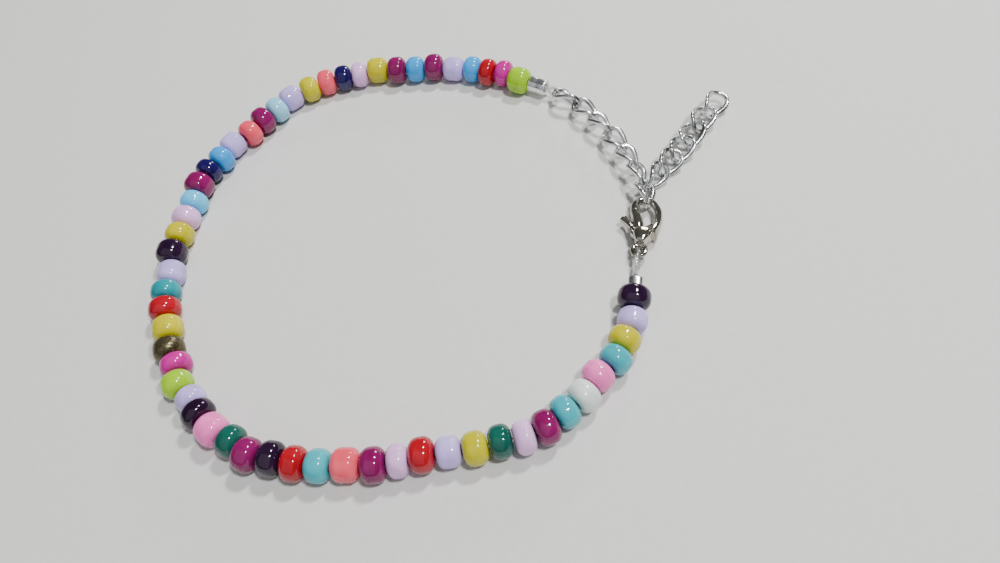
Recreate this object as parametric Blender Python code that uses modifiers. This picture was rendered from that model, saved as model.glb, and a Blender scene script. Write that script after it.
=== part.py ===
# Beaded anklet: 56 glass beads on a clear thread, a lobster clasp and an extender chain.
# It lies in one loop on a flat surface, +Z up. Sizes below are in millimetres.
import math

import bmesh
import bpy
from mathutils import Matrix, Vector
from mathutils.geometry import interpolate_bezier

MM = 0.001

# Glass beads: length along the thread by cut, width across by colour
BEAD_LENGTH = {"thin": 2.45, "short": 2.75, "even": 2.95, "long": 3.35}
BEAD_WIDTH = 4.0
SLIM_BEAD_WIDTH = 3.7
WIDE_BEAD_WIDTH = 4.2
BEAD_SIDES = 12
BEAD_PROFILE = ((0.08, 0.80), (0.30, 1.0), (0.70, 1.0), (0.92, 0.80))  # share of length, of radius
BEAD_NECK = 0.52  # radius where two beads meet, as a share of the smaller one's

# Colour: hex value, and the width that this colour of bead has
BEAD_COLOURS = {
    "lime": ("A9CC2E", BEAD_WIDTH),
    "fuchsia": ("BC2F9B", BEAD_WIDTH),
    "red": ("C41E1E", WIDE_BEAD_WIDTH),
    "blue": ("3A95C6", BEAD_WIDTH),
    "lavender": ("C4BDE2", SLIM_BEAD_WIDTH),
    "plum": ("8C1264", WIDE_BEAD_WIDTH),
    "yellow": ("D8D038", BEAD_WIDTH),
    "lilac": ("D9C0E4", BEAD_WIDTH),
    "navy": ("15106E", BEAD_WIDTH),
    "coral": ("DA6470", BEAD_WIDTH),
    "ice": ("9CC8DA", BEAD_WIDTH),
    "sky": ("58B4DE", BEAD_WIDTH),
    "grape": ("2A0B32", WIDE_BEAD_WIDTH),
    "teal": ("2596AA", BEAD_WIDTH),
    "bronze": ("4A432B", BEAD_WIDTH),
    "pink": ("EB9FD8", BEAD_WIDTH),
    "green": ("0E6F60", BEAD_WIDTH),
    "aqua": ("52B2C2", BEAD_WIDTH),
    "chalk": ("D8DDD8", BEAD_WIDTH),
}

# Beads in order from the chain end to the clasp end: colour, cut, and how far the bead
# sits inside (+) or outside (-) the run of the thread
BEADS = (
    ("lime", "long", 0.3), ("fuchsia", "thin", -0.3), ("red", "thin", 0.2),
    ("blue", "short", -0.1), ("lavender", "long", -0.1), ("plum", "even", -0.2),
    ("blue", "even", 0.0), ("plum", "even", 0.1), ("yellow", "long", -0.4),
    ("lilac", "thin", 0.0), ("navy", "short", 0.0), ("coral", "short", -0.1),
    ("yellow", "even", 0.0), ("lavender", "long", -0.5), ("ice", "short", 0.0),
    ("plum", "even", 0.0), ("coral", "short", 0.3), ("lavender", "long", -0.4),
    ("blue", "short", 0.1), ("navy", "thin", -0.4), ("plum", "long", -0.4),
    ("sky", "short", 0.2), ("lilac", "even", 0.1), ("yellow", "even", 0.1),
    ("grape", "long", -0.2), ("lavender", "long", 0.2), ("teal", "short", -0.1),
    ("red", "even", -0.1), ("yellow", "long", 0.1), ("bronze", "even", -0.1),
    ("fuchsia", "thin", 0.3), ("lime", "even", -0.3), ("lavender", "short", 0.3),
    ("grape", "thin", 0.1), ("pink", "long", 0.0), ("green", "short", 0.3),
    ("plum", "even", -0.2), ("grape", "even", 0.2), ("red", "short", 0.1),
    ("aqua", "even", 0.1), ("coral", "long", 0.2), ("plum", "even", -0.1),
    ("lilac", "thin", 0.1), ("red", "even", 0.3), ("lavender", "even", 0.2),
    ("yellow", "even", -0.1), ("green", "short", 0.0), ("lilac", "thin", -0.3),
    ("plum", "short", -0.3), ("aqua", "short", 0.0), ("chalk", "even", -0.1),
    ("pink", "even", 0.3), ("aqua", "short", -0.2), ("yellow", "short", 0.0),
    ("lavender", "even", -0.2), ("grape", "even", 0.0),
)

# Crimp tubes that close the thread, squashed flat: length, width and height
CHAIN_CRIMP = (2.4, 2.5, 2.2)
CLASP_CRIMP = (1.6, 1.45, 1.4)
CRIMP_EDGE = 0.3
CRIMP_LIFT = 1.65  # the stiff thread holds both crimps off the surface
CRIMP_GAP = 0.15

# Clear thread, doubled back through the clasp's eye and the chain's first link
THREAD_WIDTH = 0.45
THREAD_PLAY = 0.08
CHAIN_LOOP_SPAN = 1.9
CLASP_LOOP_SPAN = 4.4
STRAND_SPREAD = 0.3
STRAND_BOW = 0.35

# Chain of twisted oval links
WIRE = 0.55
LINK_INNER_LENGTH = 3.9
HOOKED_INNER_LENGTH = 3.3
LINK_INNER_WIDTH = 1.9
LINK_PLAY = 0.15  # between links that pull on each other
TAIL_PLAY = 0.7  # the free end lies slack
LINK_TWIST = math.radians(-45)
LINK_CORNERS = 14
LINK_RISE = LINK_INNER_WIDTH / 2 + WIRE  # centre height: an upright link touches the surface
# Roll of each link about the chain's run, in degrees, from the clasp on
HOOKED_ROLL = 50
CHAIN_ROLLS = (58, 38, 20, 42, 22, 45)
TAIL_ROLLS = (70, 48, 28, 8, 25, 45)
SHARED_BEND = 0.575  # two links side by side in one bend sit this much short of its end

# Lobster clasp, drawn flat: x to its right, y from its eye to the top of its claw
CLASP_THICKNESS = 2.6
CLASP_EDGE = 0.3
EYE_RING = 0.8  # centre radius of the eye's ring
EYE_WIRE = 0.32
CLAW_WIDTH = 0.9
CLAW_DEPTH = 0.9  # across the claw's side, through which the hooked link passes
# Middle of the claw's arm, from the clasp's shoulder to its beak, and its width there
CLAW_ARM = (
    (1.55, 2.9, 1.3), (2.05, 3.9, 1.1), (2.25, 4.9, 1.0), (2.2, 5.9, 1.0), (1.9, 6.9, 1.0),
    (1.3, 7.75, 1.0), (0.4, 8.22, 1.0), (-0.45, 8.05, 1.0), (-1.0, 7.45, 1.0), (-1.22, 6.75, 0.95),
    (-1.25, 6.25, 0.75),
)
CLAW_REST = (0.45, 7.6)  # inner edge of the claw, against which the hooked link pulls
SHOULDER = (
    (0.5, 0.75), (0.85, 1.15), (1.85, 2.65), (2.5, 4.1), (1.75, 4.35), (1.05, 3.8),
    (0.6, 3.42), (0.1, 3.5), (-0.45, 3.32), (-0.85, 2.9), (-0.98, 2.3), (-0.85, 1.65), (-0.5, 0.75),
)

# Lever that closes the claw: it turns on a pin through the clasp's shoulder
PIVOT = (0.2, 2.3)
PIN_RADIUS = 0.3
PIN_CLEARANCE = 0.08
LEVER_ROOT = 0.8  # thickness inside the slot
LEVER_THICKNESS = 1.5
LEVER_EDGE = 0.22
SLOT_CLEARANCE = 0.1
SLOT = (
    (0.2, 1.35), (0.9, 1.55), (1.15, 2.1), (1.15, 2.6), (0.95, 3.2), (1.0, 4.2),
    (-3.2, 4.2), (-3.2, 1.5), (-0.3, 1.35),
)
LEVER = (
    (-2.95, 5.0), (-2.2, 4.0), (-1.6, 3.1), (-1.25, 2.4), (-0.85, 1.9), (-0.3, 1.68), (0.2, 1.6),
    (0.7, 1.8), (0.9, 2.3), (0.72, 2.85), (0.3, 3.5), (-0.25, 4.5), (-0.65, 5.4), (-0.85, 5.95),
    (-1.6, 5.85), (-1.5, 5.0), (-1.28, 4.2), (-1.75, 4.55), (-2.6, 5.25),
)
LEVER_GRIP = (
    (-2.95, 5.0), (-2.2, 4.0), (-1.6, 3.1), (-1.42, 2.75), (-1.25, 2.8), (-1.0, 3.35),
    (-0.5, 3.78), (0.1, 3.86), (-0.25, 4.5), (-0.65, 5.4), (-0.85, 5.95), (-1.6, 5.85),
    (-1.5, 5.0), (-1.28, 4.2), (-1.75, 4.55), (-2.6, 5.25),
)

# Run of the whole loop, anticlockwise from the chain-end crimp, and of the chain's free end.
# Both keep these points as chosen; the loop is scaled to the length of what is strung on it.
LOOP_ROUTE = (
    (10.9, 33.2), (2.7, 38.7), (-6.0, 41.6), (-15.0, 43.2), (-23.5, 42.1), (-30.6, 37.1),
    (-36.9, 31.0), (-40.7, 23.6), (-42.9, 15.4), (-43.4, 6.0), (-41.7, -3.4), (-38.2, -11.0),
    (-32.4, -17.0), (-24.4, -20.5), (-15.4, -21.9), (-6.6, -22.2), (1.4, -21.5), (8.2, -17.6),
    (12.9, -13.0), (15.3, -8.2), (16.4, -5.0), (18.0, -0.8), (20.9, 7.3), (21.7, 10.2),
    (20.9, 15.2), (19.2, 21.4), (16.8, 27.0),
)
TAIL_ROUTE = (
    (21.75, 10.3), (23.4, 10.7), (25.6, 12.0), (27.9, 14.1), (30.2, 16.4), (32.7, 19.1),
    (35.1, 21.1), (37.4, 22.8),
)
ROUTE_STEPS = 24

UP = Vector((0, 0, 1))
COLLECTION = "beaded_anklet"
CUTTERS = "cutters"


def new_collection(name):
    collection = bpy.data.collections.new(name)
    bpy.context.scene.collection.children.link(collection)
    return collection


def linear(channel):
    return channel / 12.92 if channel <= 0.04045 else ((channel + 0.055) / 1.055) ** 2.4


def material(name, colour, roughness, metallic=0.0, transmission=0.0):
    made = bpy.data.materials.new(name)
    made.use_nodes = True
    shader = made.node_tree.nodes["Principled BSDF"]
    rgb = [linear(int(colour[i : i + 2], 16) / 255) for i in (0, 2, 4)]
    shader.inputs["Base Color"].default_value = (*rgb, 1.0)
    shader.inputs["Roughness"].default_value = roughness
    shader.inputs["Metallic"].default_value = metallic
    shader.inputs["Transmission Weight"].default_value = transmission
    made.diffuse_color = (*rgb, 1.0)
    return made


# Routes

def smooth_route(points, closed):
    """A smooth line through the points: each corner's handles run along its neighbours' line."""
    corners = [Vector((x, y, 0)) for x, y in points]
    count = len(corners)
    headings = []
    for i, corner in enumerate(corners):
        before = corners[i - 1] if closed or i else corner
        after = corners[(i + 1) % count] if closed or i < count - 1 else corner
        headings.append((after - before).normalized())
    line = []
    for i in range(count if closed else count - 1):
        start, end = corners[i], corners[(i + 1) % count]
        reach = (end - start).length / 3
        first = start + headings[i] * reach
        second = end - headings[(i + 1) % count] * reach
        line += interpolate_bezier(start, first, second, end, ROUTE_STEPS)[:-1]
    line.append(corners[0] if closed else corners[-1])
    return line


def route_length(line):
    return sum((b - a).length for a, b in zip(line, line[1:]))


def along(line, distance):
    """The point this far along a line, going straight on past its last point."""
    for a, b in zip(line, line[1:]):
        step = (b - a).length
        if distance <= step:
            return a.lerp(b, distance / step)
        distance -= step
    return line[-1] + (line[-1] - line[-2]).normalized() * distance


# Solids

def object_from(name, data, place=None, look=None):
    made = bpy.data.objects.new(name, data)
    bpy.data.collections[COLLECTION].objects.link(made)
    if place is not None:
        made.matrix_world = place
    if look is not None:
        made.data.materials.append(look)
    return made


def flatten_to_mesh(item):
    """The item as a mesh with its modifiers applied and its caps welded, in place of the item."""
    graph = bpy.context.evaluated_depsgraph_get()
    mesh = bpy.data.meshes.new_from_object(item.evaluated_get(graph))
    shape = bmesh.new()
    shape.from_mesh(mesh)
    bmesh.ops.remove_doubles(shape, verts=shape.verts, dist=0.00001)
    bmesh.ops.recalc_face_normals(shape, faces=shape.faces)
    shape.to_mesh(mesh)
    shape.free()
    name, place = item.name, item.matrix_world.copy()
    bpy.data.objects.remove(item)
    mesh.name = name
    return object_from(name, mesh, place)


def tube(name, points, width, sides_level, closed=False, widths=None, depth_scale=1.0):
    """A round tube along the points, in millimetres; widths thin or thicken it point by point."""
    curve = bpy.data.curves.new(name, "CURVE")
    curve.dimensions = "3D"
    curve.bevel_depth = width / 2 * MM
    curve.bevel_resolution = sides_level
    curve.use_fill_caps = not closed
    spline = curve.splines.new("POLY")
    spline.points.add(len(points) - 1)
    for i, (corner, point) in enumerate(zip(points, spline.points)):
        point.co = (*(Vector(corner) * MM), 1)
        point.radius = widths[i] / width if widths else 1
    spline.use_cyclic_u = closed
    made = flatten_to_mesh(object_from(name, curve))
    made.data.transform(Matrix.Diagonal((1, 1, depth_scale, 1)))
    return made


def plate(name, outline, thickness, edge):
    """A flat outline in millimetres, as thick as asked about z = 0, with rounded edges."""
    curve = bpy.data.curves.new(name, "CURVE")
    curve.dimensions = "2D"
    curve.fill_mode = "BOTH"
    curve.extrude = (thickness / 2 - edge) * MM
    curve.bevel_depth = edge * MM
    curve.bevel_resolution = 0
    curve.offset = -edge * MM
    spline = curve.splines.new("POLY")
    spline.points.add(len(outline) - 1)
    for point, (x, y) in zip(spline.points, outline):
        point.co = (x * MM, y * MM, 0, 1)
    spline.use_cyclic_u = True
    return flatten_to_mesh(object_from(name, curve))


def cylinder(name, radius, length, sides, centre):
    bpy.ops.mesh.primitive_cylinder_add(
        vertices=sides, radius=radius * MM, depth=length * MM, location=Vector((*centre, 0)) * MM
    )
    made = bpy.context.object
    made.name = name
    for holder in made.users_collection:
        holder.objects.unlink(made)
    bpy.data.collections[COLLECTION].objects.link(made)
    return made


def combine(target, other, operation):
    """Join the other solid to the target, or cut it out, and keep it as a hidden helper."""
    step = target.modifiers.new(other.name, "BOOLEAN")
    step.operation = operation
    step.solver = "EXACT"
    step.object = other
    bpy.data.collections[COLLECTION].objects.unlink(other)
    bpy.data.collections[CUTTERS].objects.link(other)
    other.hide_render = True
    other.display_type = "WIRE"
    return flatten_to_mesh(target)


def finish(item, look, smooth_angle=40):
    item.data.materials.clear()
    item.data.materials.append(look)
    item.data.shade_smooth()
    item.data.set_sharp_from_angle(angle=math.radians(smooth_angle))
    return item


# The string of beads

def bead_rings(line, start):
    """Rings of the whole string: centre, heading, radius and bead number of each, in order."""
    reach = [start]
    for colour, cut, drift in BEADS:
        reach.append(reach[-1] + BEAD_LENGTH[cut])
    beads = []
    for i, (colour, cut, drift) in enumerate(BEADS):
        a, b = along(line, reach[i]), along(line, reach[i + 1])
        heading = (b - a).normalized()
        radius = BEAD_COLOURS[colour][1] / 2
        rest_height = radius * math.cos(math.pi / BEAD_SIDES)
        centre = (a + b) / 2 + UP.cross(heading) * drift + UP * rest_height
        beads.append((centre, heading, radius, BEAD_LENGTH[cut]))
    rings = []
    for i, (centre, heading, radius, length) in enumerate(beads):
        if i == 0:
            rings.append((centre - heading * length / 2, heading, radius * BEAD_NECK, i))
        rings += [
            (centre + heading * (share - 0.5) * length, heading, radius * width, i)
            for share, width in BEAD_PROFILE
        ]
        end = centre + heading * length / 2
        if i == len(beads) - 1:
            rings.append((end, heading, radius * BEAD_NECK, i))
            continue
        after, after_heading, after_radius, after_length = beads[i + 1]
        meeting = (end + after - after_heading * after_length / 2) / 2
        neck = min(radius, after_radius) * BEAD_NECK
        rings.append((meeting, (heading + after_heading).normalized(), neck, i))
    return rings


def bead_string(line, start):
    """One loft through every ring, a flat of each bead's belly on the surface."""
    looks = {name: material(f"glass_{name}", colour, 0.12) for name, (colour, _) in BEAD_COLOURS.items()}
    mesh = bpy.data.meshes.new("bead_string")
    for look in looks.values():
        mesh.materials.append(look)
    order = list(looks)
    shape = bmesh.new()
    loops = []
    for centre, heading, radius, bead in bead_rings(line, start):
        side = heading.cross(UP)
        turn = [2 * math.pi * (k + 0.5) / BEAD_SIDES for k in range(BEAD_SIDES)]
        corners = [centre + (side * math.cos(t) + UP * math.sin(t)) * radius for t in turn]
        loops.append(([shape.verts.new(corner * MM) for corner in corners], bead))
    for (ring, _), (after, bead) in zip(loops, loops[1:]):
        for k in range(BEAD_SIDES):
            n = (k + 1) % BEAD_SIDES
            face = shape.faces.new((ring[k], ring[n], after[n], after[k]))
            face.material_index = order.index(BEADS[bead][0])
    for ring, bead in (loops[0], loops[-1]):
        face = shape.faces.new(ring)
        face.material_index = order.index(BEADS[bead][0])
    bmesh.ops.recalc_face_normals(shape, faces=shape.faces)
    shape.to_mesh(mesh)
    shape.free()
    mesh.shade_smooth()
    mesh.set_sharp_from_angle(angle=math.radians(50))
    return object_from("bead_string", mesh)


# Crimps, thread loops and links

def crimp(name, size, centre, heading, look):
    bpy.ops.mesh.primitive_cube_add(size=1)
    made = bpy.context.object
    made.name = name
    for holder in made.users_collection:
        holder.objects.unlink(made)
    bpy.data.collections[COLLECTION].objects.link(made)
    made.data.transform(Matrix.Diagonal((size[0] * MM, size[1] * MM, size[2] * MM, 1)))
    made.matrix_world = frame_at(centre, heading, 0)
    edge = made.modifiers.new("pressed edges", "BEVEL")
    edge.width = CRIMP_EDGE * MM
    edge.segments = 2
    made.data.materials.append(look)
    return made


def frame_at(centre, heading, roll):
    """A place with x along the heading and y across it, rolled about the heading."""
    across = UP.cross(heading).normalized()
    turn = Matrix((heading, across, heading.cross(across))).transposed().to_4x4()
    return Matrix.Translation(centre * MM) @ turn @ Matrix.Rotation(roll, 4, "X")


def link_line(inner_length):
    """Middle of a link's wire: an oval whose two ends are turned against each other."""
    bend = (LINK_INNER_WIDTH + WIRE) / 2
    straight = (inner_length - LINK_INNER_WIDTH) / 2
    half = straight + bend
    points = []
    per_end = LINK_CORNERS // 2
    for i in range(LINK_CORNERS):
        side = 1 if i < per_end else -1
        t = math.pi * ((i % per_end) / (per_end - 1) - 0.5) + (0 if side > 0 else math.pi)
        x, y = side * straight + bend * math.cos(t), bend * math.sin(t)
        twist = LINK_TWIST * x / half
        points.append((x, y * math.cos(twist), y * math.sin(twist)))
    return points


def link(name, inner_length, centre, heading, roll, look):
    made = tube(name, link_line(inner_length), WIRE, 1, closed=True)
    made.matrix_world = frame_at(centre, heading, math.radians(roll))
    return finish(made, look, 60)


def run_of_links(names, held, line, travelled, rolls, play, look):
    """Hang links one in the next, the first by its end at held, each aimed along the line."""
    pitch = LINK_INNER_LENGTH - play
    crossing = None
    for name, roll in zip(names, rolls):
        travelled += pitch
        aim = along(line, travelled)
        aim.z = held.z
        heading = (aim - (crossing or held)).normalized()
        crossing = crossing or held + heading * (WIRE + play) / 2
        link(name, LINK_INNER_LENGTH, crossing + heading * pitch / 2, heading, roll, look)
        crossing = crossing + heading * pitch
    return crossing, heading


def thread_loop(name, mouth, eye, held_wire, tangent, look):
    """Thread doubled back round a wire: out of the crimp's mouth, round the wire and back."""
    out = (eye - mouth).normalized()
    across = out.cross(tangent).normalized()
    away = across.cross(tangent).normalized()
    away = away if away.dot(out) > 0 else -away
    bend = held_wire / 2 + THREAD_WIDTH / 2 + THREAD_PLAY
    near = across * STRAND_SPREAD
    bow = tangent * STRAND_BOW
    points = [
        mouth + near,
        mouth.lerp(eye, 0.3) + near,
        mouth.lerp(eye, 0.6) + across * (bend + STRAND_SPREAD) / 2 + bow * 0.6,
        eye - away * bend * 0.5 + across * bend + bow * 0.3,
    ]
    points += [
        eye + (across * math.cos(t) + away * math.sin(t)) * bend
        for t in (math.radians(a) for a in range(0, 181, 30))
    ]
    points += [
        eye - away * bend * 0.5 - across * bend - bow * 0.3,
        mouth.lerp(eye, 0.6) - across * (bend + STRAND_SPREAD) / 2 - bow * 0.6,
        mouth.lerp(eye, 0.3) - near,
        mouth - near,
    ]
    return finish(tube(name, points, THREAD_WIDTH, 2), look)


# The clasp

def clasp_body(place, look):
    arm = tube(
        "clasp_body",
        [(x, y, 0) for x, y, _ in CLAW_ARM],
        CLAW_WIDTH,
        2,
        widths=[w * CLAW_WIDTH for _, _, w in CLAW_ARM],
        depth_scale=CLAW_DEPTH / CLAW_WIDTH,
    )
    body = combine(arm, plate("shoulder_plate", SHOULDER, CLASP_THICKNESS, CLASP_EDGE), "UNION")
    bpy.ops.mesh.primitive_torus_add(
        major_radius=EYE_RING * MM, minor_radius=EYE_WIRE * MM, major_segments=16, minor_segments=8
    )
    ring = bpy.context.object
    ring.name = "eye_ring"
    for holder in ring.users_collection:
        holder.objects.unlink(ring)
    bpy.data.collections[COLLECTION].objects.link(ring)
    body = combine(body, ring, "UNION")
    slot = plate("lever_slot", SLOT, LEVER_ROOT + 2 * SLOT_CLEARANCE, 0.0)
    body = combine(body, slot, "DIFFERENCE")
    pin = cylinder("pivot_pin", PIN_RADIUS, CLASP_THICKNESS - 2 * CLASP_EDGE, 12, PIVOT)
    body = combine(body, pin, "UNION")
    body.matrix_world = place
    return finish(body, look)


def clasp_lever(place, look):
    lever = plate("clasp_lever", LEVER, LEVER_ROOT, 0.0)
    lever = combine(lever, plate("lever_grip", LEVER_GRIP, LEVER_THICKNESS, LEVER_EDGE), "UNION")
    hole = cylinder("pivot_hole", PIN_RADIUS + PIN_CLEARANCE, LEVER_THICKNESS * 2, 12, PIVOT)
    lever = combine(lever, hole, "DIFFERENCE")
    lever.data.transform(Matrix.Translation(Vector((-PIVOT[0], -PIVOT[1], 0)) * MM))
    lever.matrix_world = place @ Matrix.Translation(Vector((*PIVOT, 0)) * MM)
    return finish(lever, look)


def main():
    for item in list(bpy.data.objects):
        bpy.data.objects.remove(item)
    new_collection(COLLECTION)
    new_collection(CUTTERS)
    nickel = material("polished_nickel", "B9B6AC", 0.12, 1.0)
    silver = material("silver_plate", "DADCDD", 0.18, 1.0)
    nylon = material("clear_nylon", "E4E6E2", 0.2, 0.0, 0.9)

    # What lies along the loop, added up from the chain-end crimp's inner face
    string = sum(BEAD_LENGTH[cut] for _, cut, _ in BEADS)
    pitch = LINK_INNER_LENGTH - LINK_PLAY
    claw_catch = CLAW_REST[1] - LINK_PLAY - WIRE / 2
    clasp_mouth = CRIMP_GAP + string + CRIMP_GAP + CLASP_CRIMP[0]
    eye_at = clasp_mouth + CLASP_LOOP_SPAN
    hook_at = eye_at + claw_catch
    crossing_at = hook_at + HOOKED_INNER_LENGTH + WIRE / 2 - LINK_PLAY / 2
    last_crossing = crossing_at + pitch * len(CHAIN_ROLLS)
    whole = last_crossing + CHAIN_LOOP_SPAN + CHAIN_CRIMP[0]

    line = smooth_route(LOOP_ROUTE, closed=True)
    stretch = whole / route_length(line)
    line = [point * stretch for point in line]
    tail_line = [point * stretch for point in smooth_route(TAIL_ROUTE, closed=False)]

    bead_string(line, CRIMP_GAP)

    # The clasp lies flat, its eye and its claw on the loop's line
    eye = along(line, eye_at) + UP * CLASP_THICKNESS / 2
    aim = along(line, hook_at) + UP * CLASP_THICKNESS / 2
    up_clasp = (aim - eye).normalized()
    place = frame_at(eye, up_clasp.cross(UP), 0)
    clasp_body(place, nickel)
    clasp_lever(place, nickel)

    # The hooked link hangs in the claw, and the chain and its free end hang in that link
    catch = place @ Vector((CLAW_REST[0] * MM, claw_catch * MM, 0)) / MM
    catch.z = LINK_RISE
    aim = along(line, crossing_at)
    aim.z = LINK_RISE
    heading = (aim - catch).normalized()
    middle = catch + heading * (HOOKED_INNER_LENGTH + WIRE) / 2
    link("hooked_link", HOOKED_INNER_LENGTH, middle, heading, HOOKED_ROLL, silver)
    apart = (WIRE + LINK_PLAY) / 2
    held = catch + heading * (HOOKED_INNER_LENGTH - SHARED_BEND)
    beside = UP.cross(heading) * apart
    chain_names = [f"chain_link_{i + 1}" for i in range(len(CHAIN_ROLLS))]
    tail_names = [f"tail_link_{i + 1}" for i in range(len(TAIL_ROLLS))]
    last, chain_heading = run_of_links(
        chain_names, held + beside, line, crossing_at, CHAIN_ROLLS, LINK_PLAY, silver
    )
    run_of_links(tail_names, held - beside, tail_line, 0, TAIL_ROLLS, TAIL_PLAY, silver)

    # Crimps and the doubled thread that each one closes
    for name, size, at, mouth_side in (
        ("chain_crimp", CHAIN_CRIMP, whole - CHAIN_CRIMP[0] / 2, -1),
        ("clasp_crimp", CLASP_CRIMP, clasp_mouth - CLASP_CRIMP[0] / 2, 1),
    ):
        centre = along(line, at) + UP * CRIMP_LIFT
        run = (along(line, at + 0.5) - along(line, at - 0.5)).normalized()
        crimp(name, size, centre, run, silver)
        mouth = centre + run * mouth_side * (size[0] / 2 + CRIMP_GAP)
        if mouth_side > 0:
            rim = eye - up_clasp * EYE_RING
            thread_loop("clasp_thread", mouth, rim, 2 * EYE_WIRE, up_clasp.cross(UP), nylon)
        else:
            end = last + chain_heading * (WIRE + LINK_PLAY) / 2
            roll = math.radians(CHAIN_ROLLS[-1]) + LINK_TWIST
            across = UP.cross(chain_heading).normalized()
            lie = across * math.cos(roll) + chain_heading.cross(across) * math.sin(roll)
            thread_loop("chain_thread", mouth, end, WIRE, lie, nylon)

    # Everything hangs on one empty that brings the middle of its box to the origin
    bpy.context.view_layer.update()
    corners = [
        item.matrix_world @ vertex.co
        for item in bpy.data.collections[COLLECTION].objects
        for vertex in item.data.vertices
    ]
    low = [min(corner[k] for corner in corners) for k in range(3)]
    high = [max(corner[k] for corner in corners) for k in range(3)]
    origin = bpy.data.objects.new("anklet_origin", None)
    bpy.data.collections[COLLECTION].objects.link(origin)
    for item in list(bpy.data.collections[COLLECTION].objects):
        if item is not origin:
            item.parent = origin
    origin.location = (-(low[0] + high[0]) / 2, -(low[1] + high[1]) / 2, -low[2])


main()
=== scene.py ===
import math
import random

import bmesh
import bpy
from mathutils import Matrix, Vector
from mathutils.geometry import interpolate_bezier


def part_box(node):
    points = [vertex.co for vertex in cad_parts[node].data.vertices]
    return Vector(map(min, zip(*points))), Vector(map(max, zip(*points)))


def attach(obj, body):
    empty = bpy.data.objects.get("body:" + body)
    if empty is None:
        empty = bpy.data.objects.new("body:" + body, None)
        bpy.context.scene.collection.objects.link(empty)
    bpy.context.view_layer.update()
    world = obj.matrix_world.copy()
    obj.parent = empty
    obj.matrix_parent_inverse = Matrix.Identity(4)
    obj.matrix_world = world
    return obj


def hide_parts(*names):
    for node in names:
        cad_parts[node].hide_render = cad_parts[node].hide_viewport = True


# Beaded anklet, lying closed on a pale table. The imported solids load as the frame,
# and smooth, detailed pieces stand in for them. Lengths in the settings are millimetres.
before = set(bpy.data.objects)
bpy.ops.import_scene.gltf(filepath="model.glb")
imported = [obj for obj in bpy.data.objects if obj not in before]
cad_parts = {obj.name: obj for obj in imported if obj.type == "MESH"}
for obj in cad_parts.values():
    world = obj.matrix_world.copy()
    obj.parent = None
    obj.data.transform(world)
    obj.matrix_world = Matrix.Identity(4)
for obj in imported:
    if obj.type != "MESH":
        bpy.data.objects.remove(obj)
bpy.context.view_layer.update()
mm = 0.001
up = Vector((0, 0, 1))
mixA, mixB, mixResult = 6, 7, 2  # the colour sockets of a mix node
random.seed(56)


def deselect():
    if bpy.context.object and bpy.context.object.mode != "OBJECT":
        bpy.ops.object.mode_set(mode="OBJECT")
    bpy.ops.object.select_all(action="DESELECT")


def onlySelect(piece):
    deselect()
    piece.select_set(True)
    bpy.context.view_layer.objects.active = piece


def linearColour(hexValue):
    parts = [int(hexValue[i:i + 2], 16) / 255 for i in (1, 3, 5)]
    return [p / 12.92 if p <= 0.04045 else ((p + 0.055) / 1.055) ** 2.4 for p in parts] + [1]


def newMaterial(name):
    material = bpy.data.materials.new(name)
    material.use_nodes = True
    material.node_tree.nodes.clear()
    return material


def addNode(material, kind, inputs=None, links=None, **settings):
    node = material.node_tree.nodes.new(kind)
    for name, value in settings.items():
        setattr(node, name, value)
    for name, value in (inputs or {}).items():
        node.inputs[name].default_value = value
    for name, source in (links or {}).items():
        material.node_tree.links.new(source, node.inputs[name])
    return node


def mixHex(hexValue, other, share):
    a = [int(hexValue[i:i + 2], 16) for i in (1, 3, 5)]
    b = [int(other[i:i + 2], 16) for i in (1, 3, 5)]
    return "#" + "".join(f"{round(x + (y - x) * share):02X}" for x, y in zip(a, b))


# The camera looks down at the loop from in front of it, through a wide lens
camera = {
    "place": (4.002, -64.385, 79.270),
    "right": (0.9778, -0.1732, -0.1178),
    "up": (0.2095, 0.8084, 0.5500),
    "forward": (0.0, 0.5625, -0.8268),
    "lens": 27.0, "sensor": 36, "nearest": 2, "farthest": 10000,
}

lights = {
    # name: place, size, watts, colour
    "ceilingNear": ((191, -132, 551), (64, 64), 3.0, "#FFFFFF"),
    "ceilingMiddle": ((240, 212, 484), (64, 64), 3.0, "#FFFFFF"),
    "windowFar": ((252, 494, 190), (90, 70), 1.1, "#FFFDF8"),
    "softBox": ((-300, -520, 700), (1500, 1500), 3.2, "#F6F8FF"),
}

room = {"colour": "#E9EBEE", "strength": 0.14}

# The card that it lies on. Its pulp is in clouds per mm.
card = {
    "colour": "#D0CFCC", "size": 1400, "pulp": 0.9, "low": 0.35, "high": 0.65,
    "paler": 0.06, "roughness": 0.9,
}


def paperMaterial():
    # Matt card under the piece: off-white, even, with a cloudy pulp 1 mm across
    paper = newMaterial("mattCard")
    place = addNode(paper, "ShaderNodeTexCoord")
    pulp = addNode(paper, "ShaderNodeTexNoise", {"Scale": card["pulp"] / mm, "Detail": 3},
                   {"Vector": place.outputs["Object"]})
    cloud = addNode(paper, "ShaderNodeMapRange", {"From Min": card["low"], "From Max": card["high"]},
                    {"Value": pulp.outputs["Fac"]})
    pale = mixHex(card["colour"], "#FFFFFF", card["paler"])
    tone = addNode(paper, "ShaderNodeMix", {mixA: linearColour(card["colour"]), mixB: linearColour(pale)},
                   {"Factor": cloud.outputs["Result"]}, data_type="RGBA")
    skin = addNode(paper, "ShaderNodeBsdfPrincipled", {"Roughness": card["roughness"]},
                   {"Base Color": tone.outputs[mixResult]})
    addNode(paper, "ShaderNodeOutputMaterial", links={"Surface": skin.outputs["BSDF"]})
    return paper


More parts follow.
